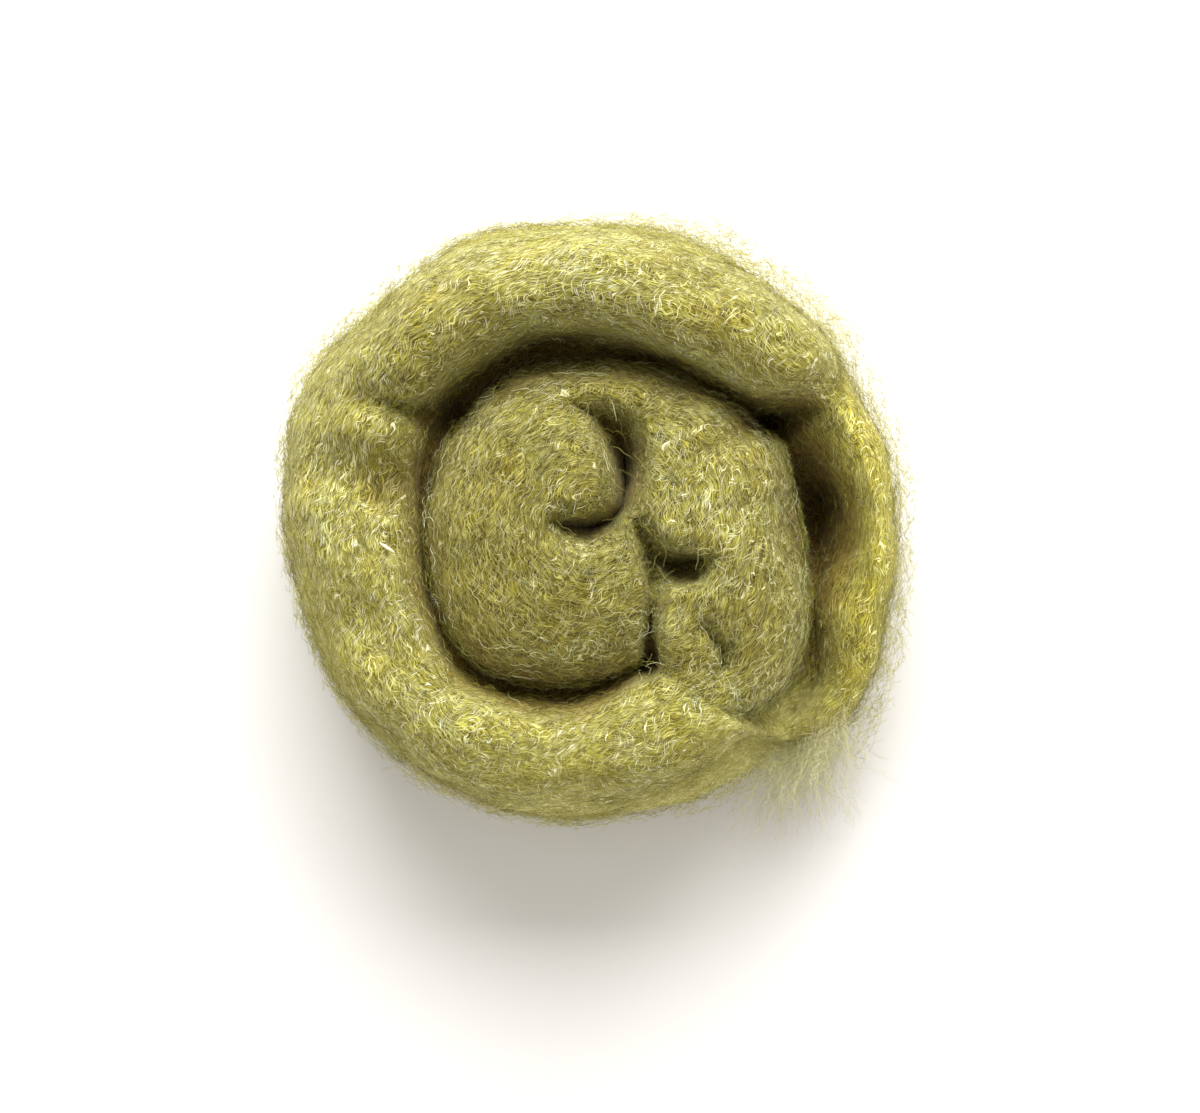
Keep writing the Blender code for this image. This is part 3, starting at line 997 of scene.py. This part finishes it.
# Points along a tail fibre, its shortest step and how much longer steps get, how far it
# wanders and droops, ranges of its crimp's waves and swing, and its darkest shade.
TAIL_POINTS = 16
TAIL_STEP = 0.15
TAIL_STEP_MORE = 1.5
TAIL_WANDER = 0.16
TAIL_DROOP = 0.25
TAIL_WAVE_RANGE = (1.0, 2.0)
TAIL_SWING_RANGE = (0.7, 1.6)
TAIL_DARKEST = 0.4


def tail_wisps(rng):
    """The ragged end of the sheet: paths of loose fibres that leave the low flap on the
    right and hang towards the near side, with their normals and shades.

    Each starts along a way, turns by a smooth random walk with a crimp on it, and sinks
    more the further it gets.
    """
    count, points = TAIL_FIBRES, TAIL_POINTS
    u = rng.uniform(*TAIL_TURNS, count) / 360.0 * PROFILES
    v = rng.uniform(*TAIL_STATIONS, count)
    grid, normals, _, _ = BODY
    starts = sample(grid, u, v) - sample(normals, u, v) * TAIL_DEPTH
    ways = np.stack([rng.normal(mean, spread, count) for mean, spread in TAIL_WAYS], axis=-1)
    step_length = TAIL_STEP_MORE * rng.random((count, 1, 1)) ** 0.6 + TAIL_STEP

    walk = np.cumsum(rng.normal(0.0, TAIL_WANDER, (count, points, 3)), axis=1)
    t = np.linspace(0.0, 1.0, points)
    wave = CRIMP_WAVE * rng.uniform(*TAIL_WAVE_RANGE, (count, 1))
    waves = 2 * np.pi * step_length[..., 0] * points / wave
    swing = np.sin(rng.uniform(0.0, 2 * np.pi, (count, 1)) + waves * t)
    swing = swing * rng.uniform(*TAIL_SWING_RANGE, (count, 1))
    side = np.cross(ways, (0.0, 0.0, 1.0))
    heading = ways[:, None] + walk + side[:, None] * swing[..., None]
    heading[..., 2] -= TAIL_DROOP * t
    path = starts[:, None] + np.cumsum(unit(heading) * step_length, axis=1)
    up = np.broadcast_to((0.0, 0.1, 1.0), path.shape)
    return path, up, TAIL_DARKEST + (1.0 - TAIL_DARKEST) * rng.random(count)


# A tube's corners, in degrees, and how far apart they are on the map, so that each face
# has some area there.
CORNERS = (90.0, 210.0, 330.0)
MAP_SPREAD = 0.012


def fibre_piece(name, rng, laid, material):
    """Closed three-sided tubes along the paths, one fibre each, coming to a point at both
    ends.  The map's U is each fibre's shade, and its V runs along it."""
    paths, normals, shade = laid
    count, length, _ = paths.shape
    paths = paths.copy()
    paths[..., 2] = np.maximum(paths[..., 2], LOWEST)
    ahead = unit(np.gradient(paths, axis=1))
    side = unit(np.cross(ahead, normals))
    over = np.cross(side, ahead)
    half = (FIBRE_WIDTH / 2 * rng.uniform(*WIDTH_RANGE, count))[:, None, None, None]
    corner = np.radians(CORNERS)[:, None]
    across = np.cos(corner) * side[:, 1:-1, None] + np.sin(corner) * over[:, 1:-1, None]
    rings = paths[:, 1:-1, None] + across * half
    inner = length - 2
    points = np.concatenate((
        rings.reshape(count, inner * 3, 3), paths[:, :1], paths[:, -1:],
    ), axis=1)
    offsets = np.arange(count) * (inner * 3 + 2)
    faces = (offsets[:, None, None] + tube_faces(inner, 3)).reshape(-1, 3)

    piece = mesh_piece(name, to_place(points.reshape(-1, 3)), faces, material)
    along = np.concatenate((np.repeat(np.arange(1, length - 1), 3), (0, length - 1)))
    along = np.broadcast_to(along / (length - 1), (count, along.size))
    jitter = np.append(np.tile((-MAP_SPREAD, 0.0, MAP_SPREAD), inner), (0.0, 0.0))
    shades = np.clip(shade[:, None] + jitter, 0.0, 1.0)
    values = np.stack((shades, along), axis=-1).reshape(-1, 2)
    corners = np.empty(len(piece.data.loops), dtype=np.int32)
    piece.data.loops.foreach_get("vertex_index", corners)
    layer = piece.data.uv_layers.new(name="OFBake")
    layer.uv.foreach_set("vector", values[corners].astype(np.float32).ravel())
    return piece


# The sliver of straw on the left of the ring, in millimetres and degrees: its place,
# turn, length, width and thickness, bow, and how far it stands off the wool.
STRAW_PLACE = (-37.3, -4.3)
STRAW_TURN = -32.0
STRAW_SIZE = (3.6, 0.6, 0.2)
STRAW_BOW = 0.25
STRAW_LIFT = 0.9
STRAW_RINGS = 11
STRAW_CORNERS = 8


def straw_fleck(material):
    """A sliver of straw caught in the wool: a flat spindle, pointed at both ends, with
    its width and thickness following a power of a sine along it, and a slight bow."""
    along = np.linspace(0.0, 1.0, STRAW_RINGS + 2)[1:-1, None]
    corner = np.arange(STRAW_CORNERS) * 2 * np.pi / STRAW_CORNERS
    size = np.sin(along * np.pi) ** 0.7
    length, width, thickness = STRAW_SIZE
    place = np.broadcast_to((along - 0.5) * length, (STRAW_RINGS, STRAW_CORNERS))
    wide = width / 2 * size * np.cos(corner)
    high = thickness / 2 * size * np.sin(corner)
    bow = STRAW_BOW * (1.0 - (2 * along - 1.0) ** 2)
    rings = np.stack((place, wide, high + bow), axis=-1)
    points = np.vstack((rings.reshape(-1, 3), (-length / 2, 0.0, 0.0), (length / 2, 0.0, 0.0)))
    turned = math.radians(STRAW_TURN)
    turn = np.array((
        (math.cos(turned), -math.sin(turned), 0.0), (math.sin(turned), math.cos(turned), 0.0),
        (0.0, 0.0, 1.0),
    ))
    top = BODY_GRID[:, BUN_STEPS:BULGE_STATION].reshape(-1, 3)
    nearest = top[np.argmin(np.hypot(top[:, 0] - STRAW_PLACE[0], top[:, 1] - STRAW_PLACE[1]))]
    points = points @ turn.T + nearest + (0.0, 0.0, STRAW_LIFT)
    return mesh_piece(
        "straw_fleck", to_place(points), tube_faces(STRAW_RINGS, STRAW_CORNERS), material,
    )


# ---------------- studio

FLOOR_SIZE = 6.0
# The lights: place, size and power.  Both shine on the middle of the roll.
LIGHTS = (
    ("window", (0.03, 0.62, 0.62), (0.75, 0.5), 13.0),
    ("white card", (0.25, -0.72, 0.3), (0.8, 0.5), 1.0),
)
LIT_PLACE = (0.0, 0.0, 0.02)
# The camera stands over a point a little right of the winding's middle and nearer.
CAMERA_LENS = 75.0
CAMERA_PLACE = (PLACE[0] + 0.7 * MM, PLACE[1] - 6.3 * MM, 0.5)


def studio():
    """A pale floor, a big soft window light from the far side, a white card opposite it
    and a camera straight above."""
    scene = bpy.context.scene
    bpy.ops.mesh.primitive_plane_add(size=FLOOR_SIZE, location=(0.0, 0.0, 0.0))
    floor = bpy.context.object
    floor.name = "floor"
    material, shader, _ = new_material("matt white table")
    set_inputs(material, shader, {
        "Base Color": linear("#efeeec"), "Roughness": 0.9, "Specular IOR Level": 0.1,
    })
    floor.data.materials.append(material)

    scene.world = bpy.data.worlds.new("soft room")
    scene.world.use_nodes = True
    set_inputs(scene.world, scene.world.node_tree.nodes["Background"], {
        "Color": linear("#fffaf4"), "Strength": 0.6,
    })

    for name, place, size, power in LIGHTS:
        data = bpy.data.lights.new(name, "AREA")
        data.shape = "RECTANGLE"
        data.size, data.size_y = size
        data.energy = power
        light = bpy.data.objects.new(name, data)
        light.location = place
        way = Vector(LIT_PLACE) - Vector(place)
        light.rotation_euler = way.to_track_quat("-Z", "Y").to_euler()
        scene.collection.objects.link(light)

    camera = bpy.data.cameras.new("camera")
    camera.sensor_width = 36.0
    camera.lens = CAMERA_LENS
    scene.camera = bpy.data.objects.new("camera", camera)
    scene.camera.location = CAMERA_PLACE
    scene.collection.objects.link(scene.camera)
    scene.view_settings.view_transform = "Standard"


# ---------------- the batt

# How loosely the wool lies at each grid point, for the painted light in the shades of the
# fibres.
LOOSENESS_AND_PAINTED_LIGHT = looseness_and_painted_light()[..., None]

# Name, seed, surface, material, first and last station, fibres, points along each, length
# of a step, spread of the headings, swing of the crimp, lowest and highest lift, how far
# the ends stand up, and the share of fibres that curl up into loops.
FIBRE_BEDS = (
    ("short_fibres_bun", 21, BODY, "inner", 0, BUN_STEPS + 1,
     2900, 7, 0.55, 0.6, 0.6, (0.0, 0.6), 0.2, 0.05),
    ("short_fibres_ring_inside", 22, BODY, "outer", BUN_STEPS - 4, CREST_STATION,
     2300, 7, 0.55, 0.5, 0.6, (0.0, 0.6), 0.2, 0.05),
    ("short_fibres_ring_outside", 23, BODY, "outer", CREST_STATION, BULGE_STATION,
     2700, 7, 0.55, 0.5, 0.6, (0.0, 0.6), 0.2, 0.05),
    ("fibres_side", 24, BODY, "outer", BULGE_STATION - 2, FOOT_STATION,
     2700, 8, 0.85, 0.6, 0.6, (0.0, 1.2), 0.5, 0.06),
    ("long_fibres_bun", 28, BODY, "inner", 0, BUN_STEPS + 1,
     2150, 14, 0.52, 0.8, 0.9, (0.1, 1.0), 0.4, 0.08),
    ("long_fibres_ring", 29, BODY, "outer", BUN_STEPS - 4, BULGE_STATION - 2,
     2500, 14, 0.52, 0.75, 0.9, (0.1, 1.1), 0.4, 0.08),
    ("fuzz_round_the_rim", 25, BODY, "fuzz", BULGE_STATION - 12, BULGE_STATION + 5,
     8000, 9, 0.75, 1.0, 0.9, (0.1, 4.6), 1.5, 0.2),
    ("strands_over_the_clefts", 26, BRIDGED, "inner", 4, CREST_STATION + 2,
     560, 10, 0.6, 1.0, 0.4, (0.1, 0.9), 0.5, 0.12),
)
# How much the long fibres differ from white, as a share of what others do: they are
# paler, which is partly painted highlight.
LONG_SHADES = 0.85
# The fuzz is thinned out to this many fibres, and is this full: (turn, share).
FUZZ_MOST = 4300
FUZZ_FULLNESS = (
    (0, 0.55), (12, 0.75), (25, 1.25), (60, 1.15), (75, 1.0), (90, 0.8), (105, 0.9),
    (120, 0.95), (130, 1.3), (160, 1.0), (172, 0.45), (195, 0.4), (212, 0.6), (230, 0.45),
    (270, 0.4), (285, 0.5), (300, 0.85), (315, 0.65), (345, 0.45),
)
TAIL_SEED = 27


def add_piece(piece):
    """Attaches a piece to the root body."""
    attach(piece, "root")


def main():
    """Sets up the studio and makes each piece of the batt."""
    studio()
    body = wool_body(body_material())
    add_piece(body)
    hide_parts("batt_roll")

    materials = {
        "inner": fibre_material("wool fibres, dyed olive", FIBRE_SHADES),
        "outer": fibre_material("wool fibres, dyed golden olive", RING_SHADES),
        "fuzz": fibre_material("single wool fibres, dyed olive, lit through", FUZZ_SHADES),
    }
    for name, seed, on, kind, first, last, count, *lie in FIBRE_BEDS:
        rng = np.random.default_rng(seed)
        u, v = seeds(rng, count, first, last)
        full = 1.0
        if kind == "fuzz":
            turn = u * 360.0 / PROFILES
            full = np.interp(turn, *np.array(FUZZ_FULLNESS).T, period=360.0)
            kept = np.flatnonzero(rng.random(count) < full)[:FUZZ_MOST]
            u, v, full = u[kept], v[kept], full[kept]
        path, up, shade = lay_fibres(rng, on, u, v, *lie, full=full)
        # The long fibres are drawn paler: partly painted highlight.
        if name.startswith("long"):
            shade = 1.0 - LONG_SHADES * (1.0 - shade)
        add_piece(fibre_piece(name, rng, (path, up, shade), materials[kind]))

    rng = np.random.default_rng(TAIL_SEED)
    ragged = fibre_material("thin end of the batt, wool fibres", TAIL_PAINTED_LIGHT_SHADES)
    add_piece(fibre_piece("tail_wisps", rng, tail_wisps(rng), ragged))
    add_piece(straw_fleck(straw_material()))


main()
